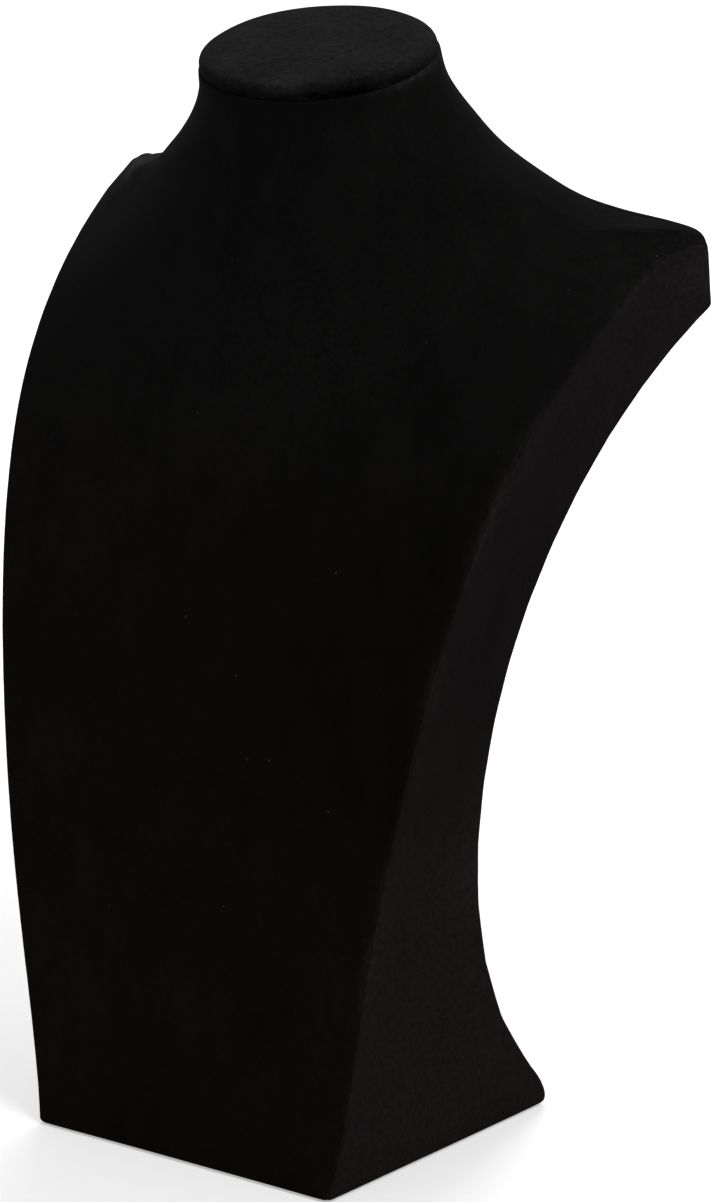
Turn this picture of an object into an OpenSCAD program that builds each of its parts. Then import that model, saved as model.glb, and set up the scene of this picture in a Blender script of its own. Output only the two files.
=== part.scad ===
// Display bust for neckwear: a velvet covered torso on its own flared foot.
// Millimetres. Z is up, the chest faces -Y, and the origin is the centre of the
// foot on the surface that the stand rests on.
//
// The body is a loft. Every row is a closed outline, level up to the shoulders.
// Over them each row runs from the middle of the chest to the shoulder line and
// on to the middle of the back, until the last lies in the leaning plane of the
// neck opening. The velvet panels and the form under them are cut from the same
// rows, so the panels lie on the form face to face.

/* [Foot] */
// Width of the foot, side to side
foot_w = 147; // [120:1:180]
// Depth of the foot, front to back
foot_d = 144; // [120:1:180]
// Radius of the rolled heel at the back of the foot
heel_r = 20; // [10:1:25]
// Radius of the edge along the bottom of the foot
foot_edge_r = 2; // [1.5:0.5:3]

/* [Torso] */
// Height from the table to the middle of the neck opening
neck_z = 430; // [380:5:480]
// Width across the shoulders
shoulder_w = 271; // [230:1:310]
// Depth of the waist behind the middle of the foot, negative is further forward
waist_y = -6; // [-12:1:0]
// Radius of the hollow back, seen from the side
back_r = 190.5; // [180:0.5:220]
// Radius of the edge between the chest and the sides
front_edge_r = 3; // [2:0.5:5]
// Radius of the edge between the sides and the back
rear_edge_r = 2.5; // [2:0.5:5]

/* [Neck] */
// Width of the neck at the top
neck_w = 99.6; // [85:0.2:115]
// Depth of the neck at the top, measured level
neck_d = 79.4; // [66:0.2:90]
// Lean of the neck opening, rear edge high
neck_tilt = 15.6; // [8:0.2:18]

/* [Cap] */
// Thickness of the padded cap at its rim
cap_h = 6; // [5:0.5:8]
// Rise of the middle of the cap above its rim
cap_dome = 1.6; // [0.4:0.2:3]
// How far the cap's rim stands in from the edge of the neck's velvet
cap_in = 0.9; // [0:0.1:1.5]
// Depth of the groove under the cap's rim
cap_groove = 0.6; // [0.4:0.1:1]

/* [Covering and base] */
// Thickness of the velvet with its backing
velvet_t = 1; // [0.6:0.1:1.2]
// Width of the velvet hem that is turned under the foot
hem_w = 9; // [6:1:14]
// Thickness of the board that closes the foot
board_t = 3.5; // [3:0.5:6]
// How far the felt pad stands below the hem
felt_proud = 0.5; // [0.3:0.1:1]

/* [Hidden] */

// The lines below are drawn for a stand 430 to the neck, 144 deep and 271
// across the shoulders, and stretch with the dimensions above.
tall = neck_z / 430;
deep = foot_d / 144;
broad = shoulder_w / 271;

// Height at which the shoulder tips begin to round over
tip_z = 355 * tall;
// Height of the lower corner of the shoulders, seen from the side
corner_z = 332 * tall;
// Height of the narrowest part of the waist
waist_z = 163 * tall;
// Softening of that lower corner, and the height above the tips at which the
// shoulders' back is free of the hollow's end
corner_soft = 3;
corner_fade = 30 * tall;

// Half width of the sides, at even steps of height up to the tips
flank = [foot_w / 2, 93 * broad, 108.5 * broad, shoulder_w / 2];
// Front edge of the sides, at even steps of height up to the tips
front_edge = [-72.5, -60.5, -86, -34.5, -71, 50.5] * deep;
// Middle of the chest and the front of the neck, as [height, y]
chest = stretched([
    [0, -72], [90, -67.5], [180, -62.5], [260, -43.6],
    [310, -30.3], [350, -25.3], [390, -25], [430, -24.3]
]);
// Back of the shoulders and the neck above the lower corner, as [height, y]
shoulder_back = stretched([[332, 96.8], [366, 81.2], [402, 61.5], [430, 55.2]]);
// Line over one shoulder from the tip to the side of the neck, as [x, y, z] and
// the height that the same row has at the middle of the chest
shoulder_line = [
    for (p = [
        [135.8, 60.9, 359, 360], [133.9, 66.6, 363.8, 365], [126.3, 62, 366.4, 368],
        [111.1, 49.4, 368.5, 372.7], [98.5, 43, 372.5, 379.5], [85.2, 37.6, 380.6, 387],
        [71.1, 32, 390.7, 394.6], [60, 28, 402.6, 402.2], [52, 20.5, 414.9, 408.4]
    ])
    [p[0] * broad, p[1] * deep, p[2] * tall, p[3] * tall]
];
// Middle of the neck opening
neck_y = 15.4 * deep;
// Gap kept between the front and back halves of every row
side_gap = 3;

// Places on the shoulder line, counted in its points: where the side's strip
// starts to narrow and how far that takes, and where the rows begin to round
narrow_from = 1.5;
narrow_over = 2.5;
round_from = 2;
// Share of the rounding rows after which they turn into the neck's oval
oval_from = 0.75;
// Place at which the side panels end, at the outer corners of the shoulders
tip_place = 1;

// Direction that the neck opening faces
neck_axis = [0, -sin(neck_tilt), cos(neck_tilt)];
// Height of the seam under the cap, in the middle of the neck
seam_drop = 4.8;
seam_z = neck_z - seam_drop / cos(neck_tilt);

// Columns of each row: in each rounded edge, across the chest, across the back
edge_cols = 4;
chest_cols = 10;
back_cols = 6;
front_n = chest_cols + 2 * edge_cols;
back_n = back_cols + 2 * edge_cols;
cols = front_n + back_n + 2;

// Columns at which the velvet panels meet, in the middle of the rounded edges
seam_front_left = edge_cols / 2;
seam_front_right = front_n - edge_cols / 2;
seam_back_right = front_n + 1 + edge_cols / 2;
seam_back_left = cols - 1 - edge_cols / 2;

// Heights of the hem's underside and of the board's top
hem_z = felt_proud;
board_z = hem_z + velvet_t + board_t;
// Gap between the hem and the felt pad
felt_gap = 0.5;

black_velvet = [0.055, 0.052, 0.055];
board_grey = [0.42, 0.40, 0.38];
form_grey = [0.58, 0.57, 0.55];
felt_black = [0.09, 0.09, 0.10];

// Stretch a line of [height, y] points with the stand
function stretched(line) = [for (p = line) [p[0] * tall, p[1] * deep]];

// Value at t from 0 to 1 of a curve whose controls stand at even steps
function blend_at(t, c) =
    len(c) == 1 ? c[0]
    : blend_at(t, [for (i = [0:len(c) - 2]) c[i] * (1 - t) + c[i + 1] * t]);

// Smooth step from 0 to 1
function ease(t) = let (s = min(max(t, 0), 1)) s * s * (3 - 2 * s);

// Smooth curve between points a and b with end slopes ma and mb
function hermite(f, a, b, ma, mb) =
    (2 * f * f * f - 3 * f * f + 1) * a + (f * f * f - 2 * f * f + f) * ma
    + (3 * f * f - 2 * f * f * f) * b + (f * f * f - f * f) * mb;

// Point at t of a smooth curve that passes point k of the list at t = k
function along(t, pts) =
    let (
        i = min(max(floor(t), 0), len(pts) - 2),
        a = pts[i],
        b = pts[i + 1],
        ma = i > 0 ? (b - pts[i - 1]) / 2 : b - a,
        mb = i < len(pts) - 2 ? (pts[i + 2] - a) / 2 : b - a
    )
    hermite(t - i, a, b, ma, mb);

// Slope of a line of [height, y] points at its point i
function slope_at(line, i) =
    let (lo = max(i - 1, 0), hi = min(i + 1, len(line) - 1))
    (line[hi][1] - line[lo][1]) / (line[hi][0] - line[lo][0]);

// Number of the stretch of the line that holds the height z
function stretch_of(line, z, i = 0) =
    i >= len(line) - 2 || z < line[i + 1][0] ? i : stretch_of(line, z, i + 1);

// y of a line of [height, y] points at the height z
function line_at(line, z) =
    let (i = stretch_of(line, z), h = line[i + 1][0] - line[i][0])
    z > line[i + 1][0] ? line[i + 1][1] + slope_at(line, i + 1) * (z - line[i + 1][0])
    : hermite(
        (z - line[i][0]) / h, line[i][1], line[i + 1][1],
        h * slope_at(line, i), h * slope_at(line, i + 1)
    );

// Hollow back, an arc seen from the side
function hollow_y(z) =
    waist_y + back_r - sqrt(max(back_r * back_r - pow(z - waist_z, 2), 1));

// Back of the stand: the hollow, then the shoulders' back above the corner,
// brought to the hollow's own end so that the two always meet
function back_y(z) =
    let (
        rise = hollow_y(corner_z) - shoulder_back[0][1],
        fade = 1 - ease((z - corner_z) / (tip_z + corner_fade - corner_z)),
        upper = line_at(shoulder_back, max(z, corner_z)) + rise * fade
            + (z < corner_z ? slope_at(shoulder_back, 0) * (z - corner_z) : 0),
        lower = hollow_y(z),
        near = max(corner_soft - abs(lower - upper), 0) / corner_soft
    )
    z < waist_z ? lower : min(lower, upper) - near * near * corner_soft / 4;

// How far the rolled heel draws in the back of the foot
function heel_in(z) =
    z >= heel_r ? 0 : heel_r - sqrt(heel_r * heel_r - pow(heel_r - z, 2));

// A row is [half width, y where the chest meets the side, y where the back does,
// [y, z] at the middle of the chest, [y, z] at the middle of the back, [y, z] of
// the shoulder line, roundness]. The roundness is 0 for the body's tight edges
// and 1 for the oval neck.
function body_row(z, inset) =
    let (
        t = min(z / tip_z, 1),
        back = back_y(z) - heel_in(z) - inset,
        edge = blend_at(t, front_edge) + front_edge_r + inset
    )
    [
        blend_at(t, flank) - inset, edge, back - rear_edge_r,
        [line_at(chest, z) + inset, z], [back, z], [edge, z], 0
    ];

// Full shoulder line, from the end of the straight sides to the neck's seam
ridge = concat(
    [[flank[3], blend_at(1, front_edge) + front_edge_r, tip_z, tip_z]],
    shoulder_line,
    [[neck_w / 2, neck_y, seam_z, seam_z - tan(neck_tilt) * neck_d / 2]]
);
spans = len(ridge) - 1;

// Row over the shoulder at place g of the shoulder line
function shoulder_row(g) =
    let (
        p = along(g, ridge),
        u = max(0, (g - round_from) / (spans - round_from)),
        oval = ease((u - oval_from) / (1 - oval_from)),
        side = max(back_y(p[2]) - rear_edge_r, p[1] + side_gap),
        narrow = ease((g - narrow_from) / narrow_over),
        gap = side_gap + max(side - p[1] - side_gap, 0) * (1 - narrow),
        front = line_at(chest, p[3]) * (1 - oval) + (neck_y - neck_d / 2) * oval,
        lean = tan(neck_tilt * u * u),
        level_z = p[2] - lean * (p[1] - neck_y),
        back = back_y(level_z) * (1 - oval) + (neck_y + neck_d / 2) * oval
    )
    [
        p[0], p[1] - gap * narrow / 2, p[1] + gap * (1 - narrow / 2),
        [front, p[3]], [back, level_z + lean * (back - neck_y)], [p[1], p[2]],
        ease(u)
    ];

// x of column k of n across a row, tight at the edges or even round an oval
function column_x(k, n, w, r, roundness) =
    let (
        inner = n - 2 * edge_cols,
        turn = 90 * (k < edge_cols ? k : n - k) / edge_cols,
        side = k < n / 2 ? -1 : 1,
        tight = k < edge_cols || k > n - edge_cols
            ? side * (w - r + r * cos(turn))
            : (w - r) * (2 * (k - edge_cols) / inner - 1),
        even = w * sin(180 * k / n - 90)
    )
    tight * (1 - roundness) + even * roundness;

// How far an edge of radius r has turned at x, from 0 on the face to 1
function turned(x, w, r) =
    1 - sqrt(max(1 - pow(max(abs(x) - (w - r), 0) / r, 2), 0));

// Half of an outline: a face that bows back between two rounded edges. The back
// has no bow, so its edges take its whole depth.
function half_outline(row, n, middle, side, edge_r, bowed) =
    let (
        w = row[0],
        roundness = row[6],
        round_x = edge_r + roundness * (w - edge_r),
        depth = abs(side - middle[0]),
        round_y = bowed ? edge_r + pow(roundness, 2) * (depth - edge_r) : depth,
        way = sign(side - middle[0]),
        drop = row[5] - middle
    )
    [
        for (k = [0:n])
        let (
            x = column_x(k, n, w, round_x, roundness),
            bow = (depth - round_y) * pow(x / w, 2),
            y = middle[0] + way * (bow + round_y * turned(x, w, round_x)),
            crossing = (y - middle[0]) / drop[0]
        )
        [x, y, middle[1] + drop[1] * crossing]
    ];

// Closed outline of a row: the front from left to right, the back returning
function outline(row) =
    concat(
        half_outline(row, front_n, row[3], row[1], front_edge_r, true),
        reversed(half_outline(row, back_n, row[4], row[2], rear_edge_r, false))
    );

// List in the other direction
function reversed(list) = [for (k = [len(list) - 1:-1:0]) list[k]];

// Rows round the foot, from the hem's inner edge up to the board's top
edge_in = foot_edge_r * (1 - cos(45));
foot_rows = [
    body_row(hem_z, foot_edge_r + hem_w),
    body_row(hem_z, foot_edge_r),
    body_row(hem_z + edge_in, edge_in),
    body_row(hem_z + foot_edge_r, 0),
    body_row(board_z, 0)
];
board_row = len(foot_rows) - 1;

// Rows up the rolled heel, as shares of the way from the board to its top
heel_top = max(heel_r, board_z) + 1;
heel_rows = [for (share = [0.25, 0.55, 1]) body_row(board_z + share * (heel_top - board_z), 0)];

// Rows up the hollow, closer together towards the shoulders
hollow_steps = 14;
hollow_top = corner_z - 5;
crowding = 1.35;
hollow_rows = [
    for (k = [1:hollow_steps])
    let (share = 1 - pow(1 - k / hollow_steps, crowding))
    body_row(heel_top + share * (hollow_top - heel_top), 0)
];

// Rows past the lower corner of the shoulders, as heights from it
corner_rows = [for (dz = [-1.5, 1.5, 5, 10, 16]) body_row(corner_z + dz, 0)];

// Rows over the shoulders, some to each point of the shoulder line
rows_per_point = 2;
shoulder_rows = [for (g = [0:1 / rows_per_point:spans]) shoulder_row(g)];
all_rows = concat(foot_rows, heel_rows, hollow_rows, corner_rows, shoulder_rows);
top_row = len(all_rows) - 1;
tip_row = top_row - (spans - tip_place) * rows_per_point;

// Points of the velvet's face
outer = [for (row = all_rows) outline(row)];

// Unit vector along v
function unit(v) = v / norm(v);

// Outward direction of the surface at row i and column j, kept in the plane of
// the row where the form ends on its board and at the neck
function outward(i, j) =
    let (
        across = outer[i][(j + 1) % cols] - outer[i][(j + cols - 1) % cols],
        up = outer[min(i + 1, top_row)][j] - outer[max(i - 1, 0)][j],
        n = unit(cross(across, up))
    )
    i == board_row ? unit([n[0], n[1], 0])
    : i == top_row ? unit(n - (n * neck_axis) * neck_axis)
    : n;

// The form's own surface, under the velvet
inner = [
    for (i = [0:top_row])
    [for (j = [0:cols - 1]) outer[i][j] - velvet_t * outward(i, j)]
];

// Index of a point in a list of joined rows
function at(i, j, n = cols) = i * n + j % n;

// Two triangles of one cell between four indexed points
function cell(a, b, c, d) = [[a, c, b], [a, d, c]];

// Solid between closed rows, with flat ends
module lofted(rows) {
    n = len(rows[0]);
    last = len(rows) - 1;
    points = [for (row = rows) each row];
    skin = [
        for (i = [0:last - 1], j = [0:n - 1])
        each cell(at(i, j, n), at(i, j + 1, n), at(i + 1, j + 1, n), at(i + 1, j, n))
    ];
    bottom = [[for (j = [0:n - 1]) j]];
    top = [[for (j = [n - 1:-1:0]) at(last, j, n)]];
    polyhedron(points, concat(skin, bottom, top), convexity = 10);
}

// Which panel covers the cell above row i and after column j
function panel_of(i, j) =
    j >= seam_front_left && j < seam_front_right ? "front"
    : j >= seam_back_right && j < seam_back_left ? "back"
    : i >= tip_row ? "front"
    : j < seam_back_right && j >= seam_front_right ? "right"
    : "left";

// Whether a cell belongs to the panel, with none beyond the ends
function covers(name, i, j) =
    i >= 0 && i < top_row && panel_of(i, (j + cols) % cols) == name;

// Velvet panel: its face, its back, and a wall along each open edge
module velvet_panel(name) {
    count = (top_row + 1) * cols;
    points = concat([for (row = outer) each row], [for (row = inner) each row]);
    faces = [
        for (i = [0:top_row - 1], j = [0:cols - 1])
        if (covers(name, i, j))
        let (a = at(i, j), b = at(i, j + 1), c = at(i + 1, j + 1), d = at(i + 1, j))
        each concat(
            cell(a, b, c, d),
            cell(a + count, d + count, c + count, b + count),
            covers(name, i - 1, j) ? [] : cell(b, a, a + count, b + count),
            covers(name, i + 1, j) ? [] : cell(d, c, c + count, d + count),
            covers(name, i, j - 1) ? [] : cell(a, d, d + count, a + count),
            covers(name, i, j + 1) ? [] : cell(c, b, b + count, c + count)
        )
    ];
    polyhedron(points, faces, convexity = 12);
}

module torso_form() {
    color(form_grey)
    lofted([for (i = [board_row:top_row]) inner[i]]);
}

module base_board() {
    color(board_grey)
    lofted([for (i = [0:board_row]) inner[i]]);
}

// Felt pad that fills the opening of the hem and carries the stand
module base_felt() {
    color(felt_black)
    linear_extrude(hem_z + velvet_t)
    polygon([for (p = outline(body_row(hem_z, foot_edge_r + hem_w + felt_gap))) [p[0], p[1]]]);
}

module front_velvet() {
    color(black_velvet)
    velvet_panel("front");
}

module back_velvet() {
    color(black_velvet)
    velvet_panel("back");
}

module side_velvet_left() {
    color(black_velvet)
    velvet_panel("left");
}

module side_velvet_right() {
    color(black_velvet)
    velvet_panel("right");
}

// Outline in the cap at h above the seam, drawn in from the neck by inset
function cap_outline(h, inset) =
    let (
        middle = [0, neck_y, seam_z],
        reach = [neck_w / 2, neck_d / 2 / cos(neck_tilt)],
        share = [1 - inset / reach[0], 1 - inset / reach[1]]
    )
    [
        for (p = outer[top_row])
        let (
            away = p - middle,
            x = away[0] * share[0],
            y = norm([away[1], away[2]]) * sign(away[1]) * share[1]
        )
        middle + [x, y * cos(neck_tilt), y * sin(neck_tilt)] + h * neck_axis
    ];

// Radius over the cap's rim, and the height at which it begins
rim_r = cap_h * 0.6;
rim_z = cap_h - rim_r;
// Height of the groove under the rim
groove_h = 0.8;
// Points of the dome, as shares of its rise and of half the neck's depth
dome = [[0.55, 0.3], [0.9, 0.6]];
// Side of the cap as [height, inset]: groove, upright rim, rounded top, dome
cap_side = concat(
    [[0, cap_in + cap_groove], [groove_h, cap_in]],
    [for (a = [0:30:90]) [rim_z + rim_r * sin(a), cap_in + rim_r * (1 - cos(a))]],
    [for (d = dome) [cap_h + cap_dome * d[0], neck_d / 2 * d[1]]]
);
// Thickness over the cap's board: the velvet and a thin wadding
cap_pad = velvet_t * 1.4;
// The cap's board as [height, inset], under its velvet
cap_core = [
    [0, cap_in + cap_groove + velvet_t],
    [rim_z, cap_in + velvet_t],
    [cap_h - cap_pad, cap_in + rim_r + cap_pad - velvet_t]
];

module neck_cap_board() {
    color(board_grey)
    lofted([for (s = cap_core) cap_outline(s[0], s[1])]);
}

module neck_cap_velvet() {
    color(black_velvet)
    difference() {
        lofted([for (s = cap_side) cap_outline(s[0], s[1])]);
        lofted(concat(
            [cap_outline(-1, cap_core[0][1])],
            [for (s = cap_core) cap_outline(s[0], s[1])]
        ));
    }
}

torso_form();
base_board();
base_felt();
neck_cap_board();
front_velvet();
side_velvet_left();
side_velvet_right();
back_velvet();
neck_cap_velvet();
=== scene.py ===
"""Velvet covered display bust for neckwear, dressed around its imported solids.

The covering is lofted again from the same lines as the solids, with finer rows,
and cut into the same panels. Shapes are in millimetres until a mesh is made.
"""
import math
from typing import NamedTuple

import bpy
import numpy as np
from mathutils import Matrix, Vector, kdtree, noise


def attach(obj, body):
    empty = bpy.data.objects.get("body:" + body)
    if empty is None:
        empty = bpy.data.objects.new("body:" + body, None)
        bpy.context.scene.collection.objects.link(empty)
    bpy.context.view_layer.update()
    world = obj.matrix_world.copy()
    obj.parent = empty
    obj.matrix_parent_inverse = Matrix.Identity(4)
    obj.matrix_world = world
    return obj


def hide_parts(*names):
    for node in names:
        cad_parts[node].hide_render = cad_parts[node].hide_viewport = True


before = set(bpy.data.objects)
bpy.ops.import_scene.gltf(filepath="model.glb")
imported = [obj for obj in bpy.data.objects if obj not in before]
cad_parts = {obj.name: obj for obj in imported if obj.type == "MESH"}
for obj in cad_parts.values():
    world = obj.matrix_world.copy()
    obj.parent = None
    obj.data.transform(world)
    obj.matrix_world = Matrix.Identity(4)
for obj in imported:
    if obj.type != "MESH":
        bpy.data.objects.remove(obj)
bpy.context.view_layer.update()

MM = 0.001
BODY = "root"

# Foot and torso
FOOT_W = 147
HEEL_R = 20
FOOT_EDGE_R = 2
NECK_Z = 430
SHOULDER_W = 271
WAIST_Y = -6
WAIST_Z = 163
BACK_R = 190.5
FRONT_EDGE_R = 3
REAR_EDGE_R = 2.5
TIP_Z = 355
CORNER_Z = 332
CORNER_SOFT = 3
CORNER_FADE = 30

# Neck and cap
NECK_W = 99.6
NECK_D = 79.4
NECK_TILT = math.radians(15.6)
NECK_Y = 15.4
SEAM_Z = NECK_Z - 4.8 / math.cos(NECK_TILT)
CAP_H = 6
CAP_DOME = 1.6
CAP_IN = 0.9
CAP_GROOVE = 0.6
RIM_R = CAP_H * 0.6

# Covering, and the gap that keeps its back off the form
VELVET_T = 1
VELVET_GAP = 0.02
HEM_W = 9
HEM_Z = 0.5
FELT_GAP = 0.5
SIDE_GAP = 3
# Rise of the padding over the middle of a shoulder tip, and where it dies away
TIP_CROWN = 1.1
CROWN_FROM = 2
CROWN_OVER = 2

# Lines of the body, all as the solids have them
FLANK = (FOOT_W / 2, 93, 108.5, SHOULDER_W / 2)
FRONT_EDGE = (-72.5, -60.5, -86, -34.5, -71, 50.5)
CHEST = (
    (0, -72), (90, -67.5), (180, -62.5), (260, -43.6),
    (310, -30.3), (350, -25.3), (390, -25), (430, -24.3),
)
SHOULDER_BACK = ((332, 96.8), (366, 81.2), (402, 61.5), (430, 55.2))
SHOULDER_LINE = (
    (135.8, 60.9, 359, 360), (133.9, 66.6, 363.8, 365), (126.3, 62, 366.4, 368),
    (111.1, 49.4, 368.5, 372.7), (98.5, 43, 372.5, 379.5), (85.2, 37.6, 380.6, 387),
    (71.1, 32, 390.7, 394.6), (60, 28, 402.6, 402.2), (52, 20.5, 414.9, 408.4),
)
NARROW_FROM = 1.5
NARROW_OVER = 2.5
ROUND_FROM = 2
OVAL_FROM = 0.75

# Columns of a row, counted as the solids count them: in each rounded edge, then
# across the chest and across the back. Panels meet in the middle of an edge.
EDGE_COLS = 4
CHEST_COLS = 10
BACK_COLS = 6
SEAM_COL = EDGE_COLS / 2
TIP_PLACE = 1
EDGE_STOPS = (0, 0.5, 1, 1.4, 1.7, 1.9, 2, 2.1, 2.3, 2.6, 3, 3.5, 4)
CHEST_STEPS = 60
BACK_STEPS = 44
STRIP_STEPS = 8


def blend_at(t, controls):
    """Value at t of a curve whose controls stand at even steps."""
    values = list(controls)
    while len(values) > 1:
        values = [a * (1 - t) + b * t for a, b in zip(values, values[1:])]
    return values[0]


def ease(t):
    s = min(max(t, 0), 1)
    return s * s * (3 - 2 * s)


def hermite(f, a, b, slope_a, slope_b):
    return (
        (2 * f**3 - 3 * f**2 + 1) * a
        + (f**3 - 2 * f**2 + f) * slope_a
        + (3 * f**2 - 2 * f**3) * b
        + (f**3 - f**2) * slope_b
    )


def along(t, points):
    """Point at t of a smooth curve that passes point k of the list at t = k."""
    i = min(max(int(t), 0), len(points) - 2)
    a, b = points[i], points[i + 1]
    before = (b - points[i - 1]) / 2 if i > 0 else b - a
    after = (points[i + 2] - a) / 2 if i < len(points) - 2 else b - a
    return hermite(t - i, a, b, before, after)


def slope_at(line, i):
    low, high = max(i - 1, 0), min(i + 1, len(line) - 1)
    return (line[high][1] - line[low][1]) / (line[high][0] - line[low][0])


def line_at(line, z):
    """y of a line of (height, y) points at the height z."""
    i = 0
    while i < len(line) - 2 and z >= line[i + 1][0]:
        i += 1
    (z_a, y_a), (z_b, y_b) = line[i], line[i + 1]
    if z > z_b:
        return y_b + slope_at(line, i + 1) * (z - z_b)
    h = z_b - z_a
    return hermite((z - z_a) / h, y_a, y_b, h * slope_at(line, i), h * slope_at(line, i + 1))


def hollow_y(z):
    return WAIST_Y + BACK_R - math.sqrt(max(BACK_R**2 - (z - WAIST_Z) ** 2, 1))


def back_y(z):
    """Back of the stand: the hollow, and above the corner the shoulders' back."""
    lower = hollow_y(z)
    if z < WAIST_Z:
        return lower
    rise = hollow_y(CORNER_Z) - SHOULDER_BACK[0][1]
    fade = 1 - ease((z - CORNER_Z) / (TIP_Z + CORNER_FADE - CORNER_Z))
    upper = line_at(SHOULDER_BACK, max(z, CORNER_Z)) + rise * fade
    upper += slope_at(SHOULDER_BACK, 0) * min(z - CORNER_Z, 0)
    near = max(CORNER_SOFT - abs(lower - upper), 0) / CORNER_SOFT
    return min(lower, upper) - near * near * CORNER_SOFT / 4


# The solids' back runs straight between these heights. The velvet bridges most of
# the way from the smooth hollow to it, so that it lies over the form.
HEEL_TOP = HEEL_R + 1
HOLLOW_TOP = CORNER_Z - 5
HOLLOW_STEPS = 14
CROWDING = 1.35
BRIDGED = 0.75
HOLLOW_STOPS = [
    HEEL_TOP + (HOLLOW_TOP - HEEL_TOP) * (1 - (1 - k / HOLLOW_STEPS) ** CROWDING)
    for k in range(HOLLOW_STEPS + 1)
]
HOLLOW_BACKS = [back_y(z) for z in HOLLOW_STOPS]


def bridged_back(z):
    """Back of the velvet, lifted a little off the smooth hollow."""
    smooth = back_y(z)
    if not HOLLOW_STOPS[0] < z < HOLLOW_STOPS[-1]:
        return smooth
    straight = float(np.interp(z, HOLLOW_STOPS, HOLLOW_BACKS))
    return smooth + BRIDGED * max(straight - smooth, 0)


def heel_in(z):
    return 0 if z >= HEEL_R else HEEL_R - math.sqrt(HEEL_R**2 - (HEEL_R - z) ** 2)


def body_row(z, inset=0):
    """Row of the foot and torso, level at z."""
    t = min(z / TIP_Z, 1)
    back = bridged_back(z) - heel_in(z) - inset
    edge = blend_at(t, FRONT_EDGE) + FRONT_EDGE_R + inset
    return {
        "width": blend_at(t, FLANK) - inset,
        "side_front": edge,
        "side_back": back - REAR_EDGE_R,
        "front": (line_at(CHEST, z) + inset, z),
        "back": (back, z),
        "ridge": (edge, z),
        "roundness": 0,
        "crown": 0,
    }


RISE = math.tan(NECK_TILT) * NECK_D / 2
RIDGE = np.array([
    (FLANK[-1], FRONT_EDGE[-1] + FRONT_EDGE_R, TIP_Z, TIP_Z),
    *SHOULDER_LINE,
    (NECK_W / 2, NECK_Y, SEAM_Z, SEAM_Z - RISE),
])
SPANS = len(RIDGE) - 1


def shoulder_row(g):
    """Row over the shoulders at place g of the shoulder line."""
    x, y, z, front_z = along(g, RIDGE)
    u = max(0, (g - ROUND_FROM) / (SPANS - ROUND_FROM))
    oval = ease((u - OVAL_FROM) / (1 - OVAL_FROM))
    side = max(back_y(z) - REAR_EDGE_R, y + SIDE_GAP)
    narrow = ease((g - NARROW_FROM) / NARROW_OVER)
    gap = SIDE_GAP + max(side - y - SIDE_GAP, 0) * (1 - narrow)
    front = line_at(CHEST, front_z) * (1 - oval) + (NECK_Y - NECK_D / 2) * oval
    lean = math.tan(NECK_TILT * u * u)
    level_z = z - lean * (y - NECK_Y)
    back = back_y(level_z) * (1 - oval) + (NECK_Y + NECK_D / 2) * oval
    return {
        "width": x,
        "side_front": y - gap * narrow / 2,
        "side_back": y + gap * (1 - narrow / 2),
        "front": (front, front_z),
        "back": (back, level_z + lean * (back - NECK_Y)),
        "ridge": (y, z),
        "roundness": ease(u),
        "crown": TIP_CROWN * ease(g) * (1 - ease((g - CROWN_FROM) / CROWN_OVER)),
    }


def column_x(k, n, width, radius, roundness):
    """x of column k of n: tight at the body's edges, even round the neck's oval."""
    side = -1 if k < n / 2 else 1
    if EDGE_COLS <= k <= n - EDGE_COLS:
        tight = (width - radius) * (2 * (k - EDGE_COLS) / (n - 2 * EDGE_COLS) - 1)
    else:
        turn = math.pi / 2 * min(k, n - k) / EDGE_COLS
        tight = side * (width - radius + radius * math.cos(turn))
    even = width * math.sin(math.pi * (k / n - 0.5))
    return tight * (1 - roundness) + even * roundness


def turned(x, width, radius):
    """How far an edge has turned at x, from 0 on the face to 1."""
    past = max(abs(x) - (width - radius), 0) / radius
    return 1 - math.sqrt(max(1 - past**2, 0))


def half_outline(row, columns, n, middle, side, edge_r, bowed):
    """Half of a row: a face between two rounded edges."""
    width, roundness = row["width"], row["roundness"]
    round_x = edge_r + roundness * (width - edge_r)
    depth = abs(side - middle[0])
    round_y = edge_r + roundness**2 * (depth - edge_r) if bowed else depth
    way = math.copysign(1, side - middle[0])
    ridge_y, ridge_z = row["ridge"]
    points = []
    for k in columns:
        x = column_x(k, n, width, round_x, roundness)
        bow = (depth - round_y) * (x / width) ** 2
        y = middle[0] + way * (bow + round_y * turned(x, width, round_x))
        share = (y - middle[0]) / (ridge_y - middle[0])
        points.append((x, y, middle[1] + (ridge_z - middle[1]) * share))
    return points


def columns_of(middle_cols, steps):
    """Column places of one half, close together where two panels meet."""
    n = middle_cols + 2 * EDGE_COLS
    inner = [EDGE_COLS + middle_cols * i / steps for i in range(1, steps)]
    return n, [*EDGE_STOPS, *inner, *(n - k for k in reversed(EDGE_STOPS))]


FRONT_N, FRONT_COLUMNS = columns_of(CHEST_COLS, CHEST_STEPS)
BACK_N, BACK_COLUMNS = columns_of(BACK_COLS, BACK_STEPS)


def strip(start, end, crown):
    """Points down the side of a row, between its front half and its back half."""
    start, end = np.array(start), np.array(end)
    points = []
    for i in range(1, STRIP_STEPS):
        t = i / STRIP_STEPS
        points.append(start + (end - start) * t + np.array((0, 0, crown * 4 * t * (1 - t))))
    return points


def outline(row):
    """Closed row: the front from left to right, the back returning."""
    front = half_outline(
        row, FRONT_COLUMNS, FRONT_N, row["front"], row["side_front"], FRONT_EDGE_R, True
    )
    back = half_outline(
        row, BACK_COLUMNS, BACK_N, row["back"], row["side_back"], REAR_EDGE_R, False
    )
    right = strip(front[-1], back[-1], row["crown"])
    left = strip(back[0], front[0], row["crown"])
    return np.array([*front, *right, *back[::-1], *left])


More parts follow.
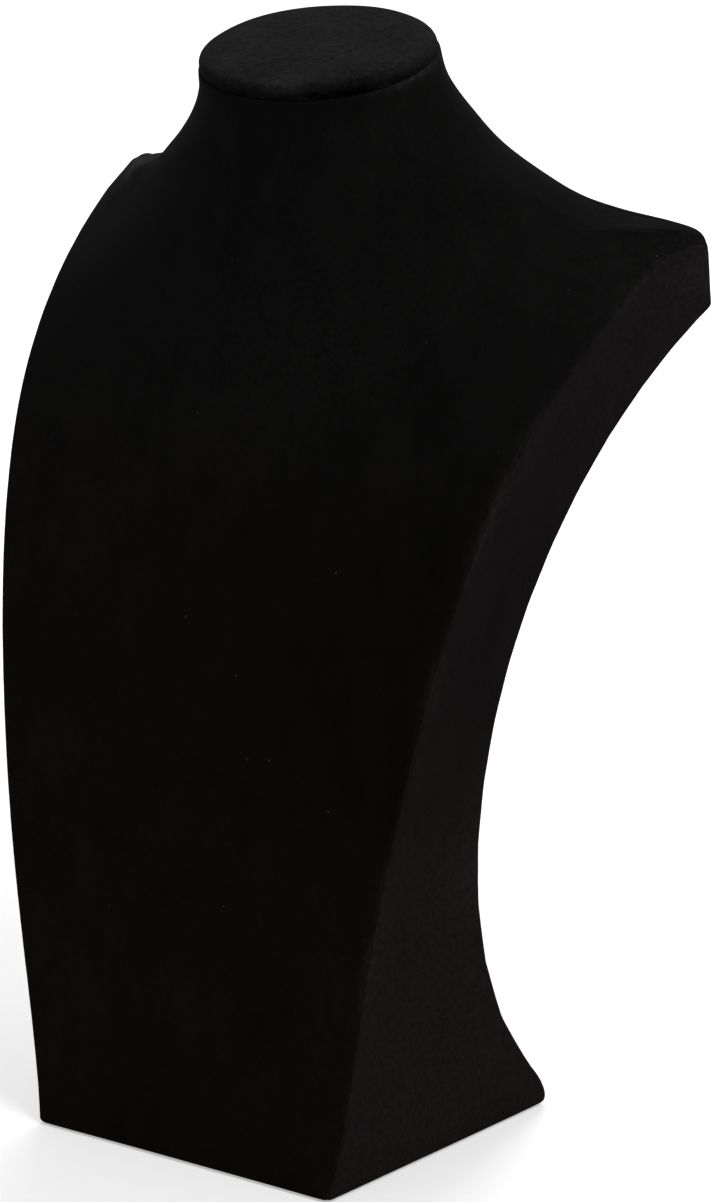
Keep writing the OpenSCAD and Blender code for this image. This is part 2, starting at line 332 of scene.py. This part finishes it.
def foot_rows(steps=6):
    """Turned-under hem and the rounded edge along the bottom of the foot."""
    yield body_row(HEM_Z, FOOT_EDGE_R + HEM_W)
    yield body_row(HEM_Z, FOOT_EDGE_R + HEM_W / 2)
    for i in range(steps + 1):
        a = math.pi / 2 * i / steps
        inset = FOOT_EDGE_R * (1 - math.sin(a))
        yield body_row(HEM_Z + FOOT_EDGE_R * (1 - math.cos(a)), inset)


# Step between two level rows, by how much it is less where the body bends most, and
# how far up and down from there
ROW_STEP = 3.4
CLOSER_BY = 2.6
BEND_REACH = 12


def body_heights():
    """Heights of the level rows, close together at the foot and at the corner."""
    z = HEM_Z + FOOT_EDGE_R
    while z < TIP_Z - 1:
        at_corner = math.exp(-(((z - CORNER_Z) / BEND_REACH) ** 2))
        at_foot = math.exp(-((z / BEND_REACH) ** 2))
        z += ROW_STEP - CLOSER_BY * min(at_corner + at_foot, 1)
        yield min(z, TIP_Z - 0.5)


def shoulder_places(step=0.1):
    """Places on the shoulder line, with extra ones beside the side panels' ends."""
    places = {round(i * step, 2) for i in range(round(SPANS / step))}
    places |= {TIP_PLACE - 0.04, TIP_PLACE + 0.04, SPANS - 0.05}
    return sorted(places)


CAP_AXIS = np.array((0, -math.sin(NECK_TILT), math.cos(NECK_TILT)))
CAP_MIDDLE = np.array((0, NECK_Y, SEAM_Z))
CAP_REACH = np.array((NECK_W / 2, NECK_D / 2 / math.cos(NECK_TILT)))
NECK_OUTLINE = outline(shoulder_row(SPANS))


def cap_ring(height, inset=0, share=1):
    """Outline of the neck at a height over its seam, drawn in by an inset and then
    to a share of its size."""
    away = NECK_OUTLINE - CAP_MIDDLE
    share = share * (1 - inset / CAP_REACH)
    x = away[:, 0] * share[0]
    y = np.linalg.norm(away[:, 1:], axis=1) * np.sign(away[:, 1]) * share[1]
    level = np.stack([x, y * math.cos(NECK_TILT), y * math.sin(NECK_TILT)], axis=1)
    return CAP_MIDDLE + level + height * CAP_AXIS


# Edge of the neck's velvet, turned in under the cap, as (height, inset, thickness)
TURNED_IN = (
    (-0.25, 0.03, 0.98), (0, 0.14, 0.9), (0.13, 0.32, 0.5),
    (0.18, 0.6, 0.3), (0.18, 1.1, 0.15), (0.12, 1.9, 0.1),
)

ROWS = [*foot_rows(), *(body_row(z) for z in body_heights())]
FIRST_SHOULDER_ROW = len(ROWS)
PLACES = shoulder_places()
ROWS += [shoulder_row(g) for g in PLACES]
TIP_ROW = FIRST_SHOULDER_ROW + PLACES.index(TIP_PLACE)
GRID = np.array([
    *(outline(row) for row in ROWS),
    *(cap_ring(height, inset) for height, inset, _ in TURNED_IN),
])
THICKNESS = np.array([VELVET_T - VELVET_GAP] * len(ROWS) + [t for _, _, t in TURNED_IN])
ROW_COUNT, COL_COUNT = GRID.shape[:2]


def outward_of(grid):
    """Outward unit vector at every point of a grid of closed rows."""
    across = np.roll(grid, -1, axis=1) - np.roll(grid, 1, axis=1)
    up = np.gradient(grid, axis=0)
    n = np.cross(across, up)
    return n / np.maximum(np.linalg.norm(n, axis=2, keepdims=True), 1e-9)


OUTWARD = outward_of(GRID)


BACK_START = len(FRONT_COLUMNS) + STRIP_STEPS - 1
FRONT_LEFT = FRONT_COLUMNS.index(SEAM_COL)
FRONT_RIGHT = FRONT_COLUMNS.index(FRONT_N - SEAM_COL)
BACK_RIGHT = BACK_START + BACK_COLUMNS[::-1].index(BACK_N - SEAM_COL)
BACK_LEFT = BACK_START + BACK_COLUMNS[::-1].index(SEAM_COL)


def panel_of(i, j):
    """Which panel covers the cell above row i and after column j."""
    if FRONT_LEFT <= j < FRONT_RIGHT:
        return "front"
    if BACK_RIGHT <= j < BACK_LEFT:
        return "back"
    if i >= TIP_ROW:
        return "front"
    return "right" if FRONT_RIGHT <= j < BACK_RIGHT else "left"


def panel_cells(name):
    return [
        (i, j)
        for i in range(ROW_COUNT - 1)
        for j in range(COL_COUNT)
        if panel_of(i, j) == name
    ]


def corners(i, j):
    """The four grid points round a cell, anticlockwise from outside."""
    k = (j + 1) % COL_COUNT
    return (i, j), (i, k), (i + 1, k), (i + 1, j)


def edges_once(faces):
    """Edges that belong to one face only, in that face's direction."""
    seen = {}
    for face in faces:
        for a, b in zip(face, face[1:] + face[:1]):
            seen[(a, b)] = True
    return [(a, b) for a, b in seen if (b, a) not in seen]


def new_piece(name, points, faces, materials):
    """Smooth mesh piece from points in millimetres, riding on the stand."""
    mesh = bpy.data.meshes.new(name)
    mesh.from_pydata([Vector(p) * MM for p in points], [], faces)
    mesh.validate()
    mesh.shade_smooth()
    for material in materials:
        mesh.materials.append(material)
    piece = bpy.data.objects.new(name, mesh)
    bpy.context.scene.collection.objects.link(piece)
    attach(piece, BODY)
    return piece


def store(piece, name, values):
    """Keep one number per point on the mesh, for its material to read."""
    layer = piece.data.attributes.new(name, "FLOAT", "POINT")
    layer.data.foreach_set("value", np.asarray(values, dtype=np.float32))


# Relief of the covering: the roll over a cut edge, the puckers beside a seam, the
# slack, and the share of the covering's thickness that they stay within
SEAM_ROLL_R = 0.35
PUCKER_REACH = 9
PUCKER = 0.16
PUCKERS_PER_MM = 0.16
SLACK = 0.22
WAVES_PER_MM = 0.021
WAVES_FROM = Vector((3.1, 7.7, 1.3))
DEEPEST_SHARE = 0.6


def sunk_by(point, from_seam):
    """How far the velvet's face lies under the smooth body: the rolled edge along a
    seam, the small puckers beside it and the slack of glued cloth."""
    p = Vector(point)
    inward = 1 - min(from_seam / SEAM_ROLL_R, 1)
    roll = SEAM_ROLL_R * (1 - math.sqrt(1 - inward**2))
    beside = max(1 - from_seam / PUCKER_REACH, 0) ** 2
    pucker = PUCKER * beside * (0.5 + 0.5 * noise.noise(p * PUCKERS_PER_MM))
    slack = SLACK * (0.5 + 0.5 * noise.noise(p * WAVES_PER_MM + WAVES_FROM))
    return roll + pucker + slack


class PaintedLightPatch(NamedTuple):
    """Patch of painted light or shade on the pile. Above an amount of 0 it is a painted
    highlight, and below 0 it is painted shade. A patch with a width keeps to the panel's
    edge, and one on top keeps to what faces up."""

    centre: tuple
    reach: float
    amount: float
    width: float = 0
    on_top: bool = False


TIP_PAINTED_LIGHT = (
    # Painted highlight on the top of the left shoulder tip
    PaintedLightPatch((-120, 46, 365), 4.5, 2.4),
    PaintedLightPatch((-113, 42, 367), 5.5, 3.2),
    PaintedLightPatch((-120, 55, 368), 7, 2.2),
    PaintedLightPatch((-125, 68, 367), 7, 1.6),
    # Painted shade on the front of the left shoulder tip
    PaintedLightPatch((-112, 30, 356), 12, -0.6),
    PaintedLightPatch((-98, 24, 366), 9, -0.6),
    PaintedLightPatch((-80, 12, 374), 14, -0.2),
    # Painted shade on what faces up over the right shoulder
    PaintedLightPatch((112, 62, 370), 36, -0.4, on_top=True),
    # Painted highlights on the right shoulder tip's side, along its rear and front edges
    PaintedLightPatch((134, 82, 350), 13, 0.5),
    PaintedLightPatch((131, 85, 337), 9, 0.6, width=2.5),
    PaintedLightPatch((127, 38, 345), 14, 0.5, width=2),
    PaintedLightPatch((129, 50, 357), 20, 0.12),
)
CHEST_PAINTED_LIGHT = (
    # Painted light and shade over the chest and the front of the neck
    PaintedLightPatch((43, -51, 225), 60, -0.13),
    PaintedLightPatch((18, -28, 316), 42, 0.14),
    PaintedLightPatch((-74, -4, 352), 26, -0.07),
    PaintedLightPatch((-34, -15, 403), 14, 0.2),
)
SIDE_PAINTED_LIGHT = (
    # Painted shade over the middle of the right side panel, and painted light low on it
    PaintedLightPatch((98, -29, 165), 42, -0.2),
    PaintedLightPatch((112, 10, 260), 50, -0.17),
    PaintedLightPatch((106, 0, 215), 50, -0.16),
    PaintedLightPatch((84, -12, 128), 26, 0.26),
    PaintedLightPatch((80, -20, 28), 45, 0.12),
)
SEAM_PAINTED_LIGHT = (
    # Painted highlights along the edge between the chest and the right side panel
    PaintedLightPatch((118, -14, 312), 14, 0.4, width=3),
    PaintedLightPatch((110, -30, 272), 26, 0.6, width=3),
    PaintedLightPatch((103, -50, 205), 18, 0.3, width=4),
    PaintedLightPatch((88, -62, 102), 20, 0.4, width=3),
    # Painted highlight along the neck's top edge under the cap, at the right
    PaintedLightPatch((48, 14, 427), 17, 2.4, width=2.4),
)
CAP_PAINTED_LIGHT = (
    # Painted shade on the cap's front rim
    PaintedLightPatch((19, -23, 419), 13, -0.12),
    PaintedLightPatch((-5, -23, 421), 13, -0.08),
    PaintedLightPatch((39, -12, 421), 13, -0.12),
    # Two small painted highlights on the front rim
    PaintedLightPatch((6, -20, 422), 5, 0.25),
    PaintedLightPatch((15, -20, 422), 5, 0.25),
)
PAINTED_LIGHT = TIP_PAINTED_LIGHT + CHEST_PAINTED_LIGHT + SIDE_PAINTED_LIGHT + SEAM_PAINTED_LIGHT + CAP_PAINTED_LIGHT
# How far up a face looks before it counts as a top one for painted shade, and over what share
TOP_FROM = 0.7
TOP_OVER = 0.15
# How much darker painted shade makes the pile folded down over the cap's side, most at its foot
RIM_PAINTED_SHADE = 0.36


def painted_light_and_shade_at(point, from_seam, faces_up):
    """How much paler the painted light makes the pile at a point of a panel; below 0 it is painted
    shade.
    """
    total = 0
    for mark in PAINTED_LIGHT:
        fall = (Vector(point) - Vector(mark.centre)).length / mark.reach
        beside = from_seam / mark.width if mark.width else 0
        share = ease((faces_up - TOP_FROM) / TOP_OVER) if mark.on_top else 1
        total += mark.amount * share * math.exp(-(fall**2) - beside**2)
    return total


def nearest_distance(points, targets):
    """Distance from each point to the nearest of the targets."""
    tree = kdtree.KDTree(len(targets))
    for i, target in enumerate(targets):
        tree.insert(target, i)
    tree.balance()
    return np.array([tree.find(p)[2] for p in points])


def cut_size(cells):
    """Width, length and area of the cloth of a panel's cells, in metres."""
    widths = np.zeros(ROW_COUNT)
    lengths = np.zeros(COL_COUNT)
    area = 0
    for i, j in cells:
        a, b, c, d = (GRID[corner] for corner in corners(i, j))
        widths[i] += np.linalg.norm(b - a)
        lengths[j] += np.linalg.norm(d - a)
        area += np.linalg.norm(np.cross(c - a, d - b)) / 2
    return float(widths.max()) * MM, float(lengths.max()) * MM, float(area) * MM * MM


def velvet_panel(name, panel, node, material):
    """One panel of the covering: its face, its back and its cut edge."""
    cells = panel_cells(panel)
    used = sorted({corner for cell in cells for corner in corners(*cell)})
    index = {corner: n for n, corner in enumerate(used)}
    faces = [tuple(index[c] for c in corners(*cell)) for cell in cells]
    border = edges_once(faces)
    smooth = np.array([GRID[c] for c in used])
    outward = np.array([OUTWARD[c] for c in used])
    thickness = np.array([THICKNESS[i] for i, _ in used])
    from_seam = nearest_distance(smooth, [smooth[a] for a, _ in border])
    sunk = np.array([sunk_by(p, d) for p, d in zip(smooth, from_seam)])
    sunk = np.minimum(sunk, thickness * DEEPEST_SHARE)
    face_points = smooth - outward * sunk[:, None]
    back_points = smooth - outward * thickness[:, None]
    count = len(used)
    shell = faces + [tuple(a + count for a in reversed(face)) for face in faces]
    shell += [(b, a, a + count, b + count) for a, b in border]
    piece = new_piece(name, [*face_points, *back_points], shell, [material])
    # Painted light and shade of the patches, kept per point
    painted_light_and_shade = [painted_light_and_shade_at(p, d, n[2]) for p, d, n in zip(smooth, from_seam, outward)]
    store(piece, "from_seam", [*from_seam, *from_seam])
    store(piece, "painted_light_and_shade", [*painted_light_and_shade, *painted_light_and_shade])
    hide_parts(node)
    width, length, area = cut_size(cells)
    return piece


# The cap's velvet: its thickness, how far its edge lies above the neck's, the roll
# over that edge, how full the dome is, and the dents in its wadding
CAP_VELVET_T = VELVET_T * 0.85
CAP_LIFT = 0.3
CAP_ROLL = 0.9
DOME_FULLNESS = 2.2
DENT = 0.2
DENTS_PER_MM = 0.05


def cap_profile(steps=8, dome_steps=18):
    """Side of the padded cap as (height, inset, share): tucked edge, rim, dome."""
    tucked = CAP_IN + CAP_GROOVE
    profile = [(CAP_LIFT - 0.08, tucked + 0.35, 1), (CAP_LIFT - 0.05, tucked + 0.1, 1)]
    for i in range(steps + 1):
        a = math.pi / 2 * i / steps
        inset = CAP_IN + CAP_GROOVE * (1 - math.sin(a))
        profile.append((CAP_LIFT + CAP_ROLL * (1 - math.cos(a)), inset, 1))
    for i in range(steps + 1):
        a = math.pi / 2 * i / steps
        height = CAP_H - RIM_R * (1 - math.sin(a))
        profile.append((height, CAP_IN + RIM_R * (1 - math.cos(a)), 1))
    for i in range(1, dome_steps):
        t = i / dome_steps
        height = CAP_H + CAP_DOME * (1 - (1 - t) ** DOME_FULLNESS)
        profile.append((height, CAP_IN + RIM_R, 1 - t))
    return profile


def cap_velvet(material):
    """Velvet drawn over the padded cap and glued under its rim."""
    profile = cap_profile()
    outer = np.array([cap_ring(*place) for place in profile])
    outward = outward_of(outer)
    dents = [[noise.noise(Vector(p) * DENTS_PER_MM) for p in ring] for ring in outer]
    outer = outer + outward * (DENT * np.array(dents))[:, :, None]
    inner = outer - outward * CAP_VELVET_T
    rings, cols = outer.shape[:2]
    top = CAP_MIDDLE + (CAP_H + CAP_DOME) * CAP_AXIS
    points = [*outer.reshape(-1, 3), *inner.reshape(-1, 3), top, top - CAP_VELVET_T * CAP_AXIS]
    half = rings * cols
    faces = []
    for i in range(rings - 1):
        for j in range(cols):
            k = (j + 1) % cols
            a, b, c, d = i * cols + j, i * cols + k, (i + 1) * cols + k, (i + 1) * cols + j
            faces.append((a, b, c, d))
            faces.append((d + half, c + half, b + half, a + half))
    last = half - cols
    for j in range(cols):
        k = (j + 1) % cols
        faces.append((last + j, last + k, 2 * half))
        faces.append((last + k + half, last + j + half, 2 * half + 1))
        faces.append((k, j, j + half, k + half))
    piece = new_piece("velvet_cap", points, faces, [material])
    drawn = [min(height, CAP_H) for height, _, _ in profile]
    drawn = [*np.repeat(drawn, cols), *np.repeat(drawn, cols), CAP_H, CAP_H]
    # Painted shade, deepest at the foot of the cap's rim
    rim_shade = [RIM_PAINTED_SHADE * (1 - ease(height / CAP_H)) for height in drawn]
    store(piece, "from_seam", drawn)
    store(piece, "painted_light_and_shade", [painted_light_and_shade_at(p, CAP_H, 1) - f for p, f in zip(points, rim_shade)])
    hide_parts("neck_cap_velvet")
    return piece


def felt_pad(material, thick=1.5, edge_r=0.4, steps=4):
    """Felt under the foot, inside the turned hem, with a soft lower edge."""
    rings = []
    for i in range(steps + 1):
        a = math.pi / 2 * i / steps
        drawn_in = FOOT_EDGE_R + HEM_W + FELT_GAP + edge_r * (1 - math.sin(a))
        ring = outline(body_row(HEM_Z, drawn_in))
        ring[:, 2] = edge_r * (1 - math.cos(a))
        rings.append(ring)
    rings.append(rings[-1] * (1, 1, 0) + (0, 0, thick))
    cols = len(rings[0])
    points = np.concatenate(rings)
    faces = []
    for i in range(len(rings) - 1):
        for j in range(cols):
            k = (j + 1) % cols
            faces.append((i * cols + j, i * cols + k, (i + 1) * cols + k, (i + 1) * cols + j))
    faces.append(tuple(reversed(range(cols))))
    faces.append(tuple(range(len(points) - cols, len(points))))
    piece = new_piece("felt_pad", points, faces, [material])
    piece.data.polygons[len(faces) - 2].use_smooth = False
    piece.data.polygons[len(faces) - 1].use_smooth = False
    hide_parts("base_felt")
    width, length = np.ptp(rings[-1][:, 0]), np.ptp(rings[-1][:, 1])
    return piece


class Wire:
    """Output of a shader node that Python expressions can work with."""

    def __init__(self, shader, socket):
        self.shader = shader
        self.socket = socket

    def math(self, operation, first, second):
        return self.shader.add("Math", {"operation": operation}, {0: first, 1: second})

    def __add__(self, other):
        return self.math("ADD", self, other)

    def __sub__(self, other):
        return self.math("SUBTRACT", self, other)

    def __rsub__(self, other):
        return self.math("SUBTRACT", other, self)

    def __mul__(self, other):
        return self.math("MULTIPLY", self, other)

    __radd__ = __add__
    __rmul__ = __mul__

    def within(self, low, high):
        """Smooth step from 0 at low to 1 at high."""
        return self.shader.add(
            "MapRange",
            {"interpolation_type": "SMOOTHSTEP"},
            {"Value": self, "From Min": low, "From Max": high},
        )


class Shader:
    """Nodes of a material or of the world, added one by one before its own shader."""

    def __init__(self, owner, closing="Principled BSDF"):
        owner.use_nodes = True
        self.owner = owner
        self.tree = owner.node_tree
        self.closing = self.tree.nodes[closing]

    def add(self, kind, settings=None, inputs=None, output=0):
        """New node of a kind, its settings first, then its sockets' values or links."""
        node = self.tree.nodes.new("ShaderNode" + kind)
        for name, value in (settings or {}).items():
            setattr(node, name, value)
        for name, value in (inputs or {}).items():
            self.feed(node.inputs[name], value)
        return Wire(self, node.outputs[output])

    def feed(self, socket, value):
        if isinstance(value, Wire):
            self.tree.links.new(value.socket, socket)
        else:
            socket.default_value = value

    def place(self, stretch=(1, 1, 1)):
        """Position on the object in metres, stretched along the axes."""
        where = self.add("TexCoord", output="Object")
        if stretch == (1, 1, 1):
            return where
        return self.add("VectorMath", {"operation": "MULTIPLY"}, {0: where, 1: stretch})

    def noise(self, scale, detail=2, roughness=0.5, stretch=(1, 1, 1)):
        return self.add(
            "TexNoise",
            inputs={
                "Vector": self.place(stretch),
                "Scale": scale,
                "Detail": detail,
                "Roughness": roughness,
            },
        )

    def mix(self, factor, first, second):
        """Colour between two colours, or past the second one if the factor is over 1."""
        return self.add(
            "Mix",
            {"data_type": "RGBA", "clamp_factor": False},
            {"Factor": factor, 6: first, 7: second},
            output=2,
        )

    def bump(self, height, strength, distance):
        return self.add(
            "Bump", inputs={"Height": height, "Strength": strength, "Distance": distance}
        )

    def finish(self, **sockets):
        """Feed the closing shader by its sockets' names, with _ for a space."""
        for name, value in sockets.items():
            self.feed(self.closing.inputs[name.replace("_", " ")], value)
        return self.owner


def new_shader(name):
    return Shader(bpy.data.materials.new(name))


def rgb(red, green, blue):
    return (red, green, blue, 1)


def greater(first, second):
    return first.math("MAXIMUM", first, second)


def black_velvet(name, low, high, mottled, edge_highlight=0):
    """Short black pile between a deep and a bright tone, given low on the stand and
    high on it. It has brushed patches, a mottled nap, lint, and cut edges that splay
    open under a painted highlight. Beside the edges it takes a painted highlight, and
    the stored patches add painted light and shade."""
    shader = new_shader(name)
    where = shader.place()
    up = shader.add("SeparateXYZ", inputs={"Vector": where}, output="Z").within(0.16, 0.34)
    from_seam = shader.add("Attribute", {"attribute_name": "from_seam"}, output="Fac")
    # Painted light and shade, stored per point
    painted_light_and_shade = shader.add("Attribute", {"attribute_name": "painted_light_and_shade"}, output="Fac")
    brushed = shader.noise(24, detail=3, roughness=0.55).within(0.34, 0.66)
    stroked = shader.noise(90, detail=2, stretch=(1, 1, 0.3)).within(0.32, 0.7)
    nap = shader.noise(430, detail=3, roughness=0.6).within(0.34, 0.66)
    tufts = shader.noise(1250, detail=3, roughness=0.7).within(0.32, 0.7)
    # Painted highlight beside the panel's edges
    near_edges = 1 - from_seam.within(3, 40)
    # Splayed cut pile along a seam, with a painted highlight along the rounded edge
    cut_edge_and_highlight = (1 - from_seam.within(0.6, 2.6)) * shader.noise(52, detail=4).within(0.44, 0.66)
    light = brushed * 0.16 + stroked * 0.1 + nap * mottled + tufts * 0.16 + near_edges * edge_highlight
    light = greater(light + cut_edge_and_highlight * 0.24 + painted_light_and_shade * (0.5 + nap), -0.3)
    pile = shader.mix(
        light, shader.mix(up, low[0], high[0]), shader.mix(up, low[1], high[1])
    )
    lint_cells = {"Vector": where, "Scale": 105, "Randomness": 1}
    lint_far = shader.add("TexVoronoi", inputs=lint_cells, output="Distance")
    lint_cell = shader.add("TexVoronoi", inputs=lint_cells, output="Color")
    lint_pick = shader.add("SeparateColor", inputs={"Color": lint_cell})
    lint = (1 - lint_far.within(0.03, 0.08)) * lint_pick.within(0.78, 0.9)
    pile = shader.mix(lint * 0.7, pile, rgb(0.035, 0.034, 0.033))
    height = nap * 0.4 + tufts * 0.5 + stroked * 0.1
    return shader.finish(
        Base_Color=pile,
        Roughness=0.86 + brushed * 0.08,
        Normal=shader.bump(height, 0.6, 0.0004),
        Specular_IOR_Level=0.01,
        Sheen_Weight=0.01,
        Sheen_Roughness=0.35,
        Sheen_Tint=rgb(1, 0.94, 0.95),
    )


def moulded_form():
    """Rough grey moulding of the form under the velvet."""
    shader = new_shader("moulded_form")
    grain = shader.noise(900, detail=3, roughness=0.6)
    cloud = shader.noise(30, detail=2).within(0.3, 0.7)
    colour = shader.mix(cloud, rgb(0.50, 0.49, 0.47), rgb(0.62, 0.61, 0.59))
    return shader.finish(
        Base_Color=colour, Roughness=0.62 + grain * 0.2, Normal=shader.bump(grain, 0.4, 0.0003)
    )


def fibreboard():
    """Pressed fibres of the boards in the foot and the cap."""
    shader = new_shader("fibreboard")
    fibres = shader.noise(1400, detail=4, roughness=0.7, stretch=(1, 0.25, 1))
    flecks = shader.noise(500, detail=1).within(0.55, 0.75)
    colour = shader.mix(flecks, rgb(0.33, 0.25, 0.17), rgb(0.20, 0.14, 0.09))
    return shader.finish(
        Base_Color=colour, Roughness=0.7 + fibres * 0.15, Normal=shader.bump(fibres, 0.5, 0.0003)
    )


def black_felt():
    """Dense felt of the pad under the foot."""
    shader = new_shader("black_felt")
    matted = shader.noise(900, detail=4, roughness=0.75)
    cloud = shader.noise(60, detail=2).within(0.35, 0.7)
    colour = shader.mix(matted * 0.7 + cloud * 0.3, rgb(0.008, 0.008, 0.009), rgb(0.03, 0.03, 0.032))
    return shader.finish(
        Base_Color=colour,
        Roughness=0.94,
        Normal=shader.bump(matted, 0.8, 0.0006),
        Specular_IOR_Level=0.1,
        Sheen_Weight=0.1,
        Sheen_Roughness=0.5,
    )


def dress_node(node, material):
    """Carried-over solid with its own finish."""
    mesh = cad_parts[node].data
    mesh.materials.clear()
    mesh.materials.append(material)


def pale_floor(near=0.39, far=0.68):
    """Plain floor that keeps the stand's soft shadow and is white to the camera, by a
    glow that grows away from the stand as the lamp's light falls off."""
    bpy.ops.mesh.primitive_plane_add(size=24)
    floor = bpy.context.object
    floor.name = "floor"
    shader = new_shader("pale_floor")
    seen = shader.add("LightPath", output="Is Camera Ray")
    away = shader.add("VectorMath", {"operation": "LENGTH"}, {0: shader.place()}, output="Value")
    glow = near + away.within(0.15, 1.5) * (far - near)
    floor.data.materials.append(
        shader.finish(
            Base_Color=rgb(0.9, 0.9, 0.9),
            Roughness=0.9,
            Specular_IOR_Level=0.1,
            Emission_Color=shader.mix(seen * glow, rgb(0, 0, 0), rgb(1, 1, 1)),
            Emission_Strength=1,
        )
    )


def white_world(strength=0.374):
    """Soft light from all round, and white wherever it is seen or mirrored."""
    world = bpy.data.worlds.new("studio")
    bpy.context.scene.world = world
    shader = Shader(world, "Background")
    ways = ("Is Camera Ray", "Is Glossy Ray", "Is Transmission Ray")
    camera, glossy, through = (shader.add("LightPath", output=way) for way in ways)
    seen = greater(greater(camera, glossy), through)
    shader.finish(Color=rgb(1, 1, 1), Strength=strength + seen * (1 - strength))


STAND_MIDDLE = Vector((0, 0, 0.25))
LAMP_SIZE = 1.1


def soft_lamp(name, place, power):
    """Square lamp that points at the middle of the stand."""
    light = bpy.data.lights.new(name, "AREA")
    light.size = LAMP_SIZE
    light.energy = power
    lamp = bpy.data.objects.new(name, light)
    lamp.location = place
    lamp.rotation_euler = (STAND_MIDDLE - Vector(place)).to_track_quat("-Z", "Y").to_euler()
    bpy.context.scene.collection.objects.link(lamp)


# The photograph's camera, in metres and radians, and its lens in the frame's pixels
CAMERA_PLACE = Vector((1.29606, -1.65806, 0.76857))
CAMERA_AZIMUTH = 0.6517
CAMERA_DIP = 0.2582
CAMERA_ROLL = 0.0034
FOCAL_PX = 5556.9
PHOTO_H_PX = 1202
SENSOR_MM = 36


def photo_camera():
    """Camera at the photograph's place, with its long lens."""
    data = bpy.data.cameras.new("camera")
    data.sensor_width = SENSOR_MM
    data.lens = FOCAL_PX * SENSOR_MM / PHOTO_H_PX
    camera = bpy.data.objects.new("camera", data)
    camera.location = CAMERA_PLACE
    camera.rotation_mode = "XYZ"
    camera.rotation_euler = (math.pi / 2 - CAMERA_DIP, 0, CAMERA_AZIMUTH)
    camera.rotation_euler.rotate_axis("Z", CAMERA_ROLL)
    bpy.context.scene.collection.objects.link(camera)
    bpy.context.scene.camera = camera


# One pile in three tones. The side panels' paler tones are partly painted light from the right, and
# the cap's much paler tone is partly painted light from above.
chest_velvet = black_velvet(
    "chest_velvet",
    low=(rgb(0.0033, 0.0026, 0.0022), rgb(0.0130, 0.0102, 0.0088)),
    high=(rgb(0.0031, 0.0030, 0.0029), rgb(0.0113, 0.0109, 0.0105)),
    mottled=0.12,
)
side_velvet = black_velvet(
    "side_velvet",
    low=(rgb(0.0045, 0.0034, 0.0035), rgb(0.0155, 0.0118, 0.0122)),
    high=(rgb(0.0037, 0.0030, 0.0033), rgb(0.0123, 0.0105, 0.0112)),
    mottled=0.38,
    # Painted highlight beside the side panels' edges
    edge_highlight=0.09,
)
# The cap's pale tone is partly painted light on its top
cap_tones_with_painted_light = (rgb(0.0030, 0.0030, 0.0030), rgb(0.0292, 0.0287, 0.0288))
cap_pile = black_velvet("cap_velvet", low=cap_tones_with_painted_light, high=cap_tones_with_painted_light, mottled=0.28)
velvet_panel("velvet_front", "front", "front_velvet", chest_velvet)
velvet_panel("velvet_side_left", "left", "side_velvet_left", side_velvet)
velvet_panel("velvet_side_right", "right", "side_velvet_right", side_velvet)
velvet_panel("velvet_back", "back", "back_velvet", chest_velvet)
cap_velvet(cap_pile)
felt_pad(black_felt())
board = fibreboard()
dress_node("torso_form", moulded_form())
dress_node("base_board", board)
dress_node("neck_cap_board", board)

pale_floor()
white_world()
soft_lamp("key_lamp", (1.7, -0.5, 2.0), 25)
soft_lamp("back_lamp", (-0.8, 1.4, 1.9), 18)
photo_camera()
bpy.context.scene.view_settings.view_transform = "Standard"
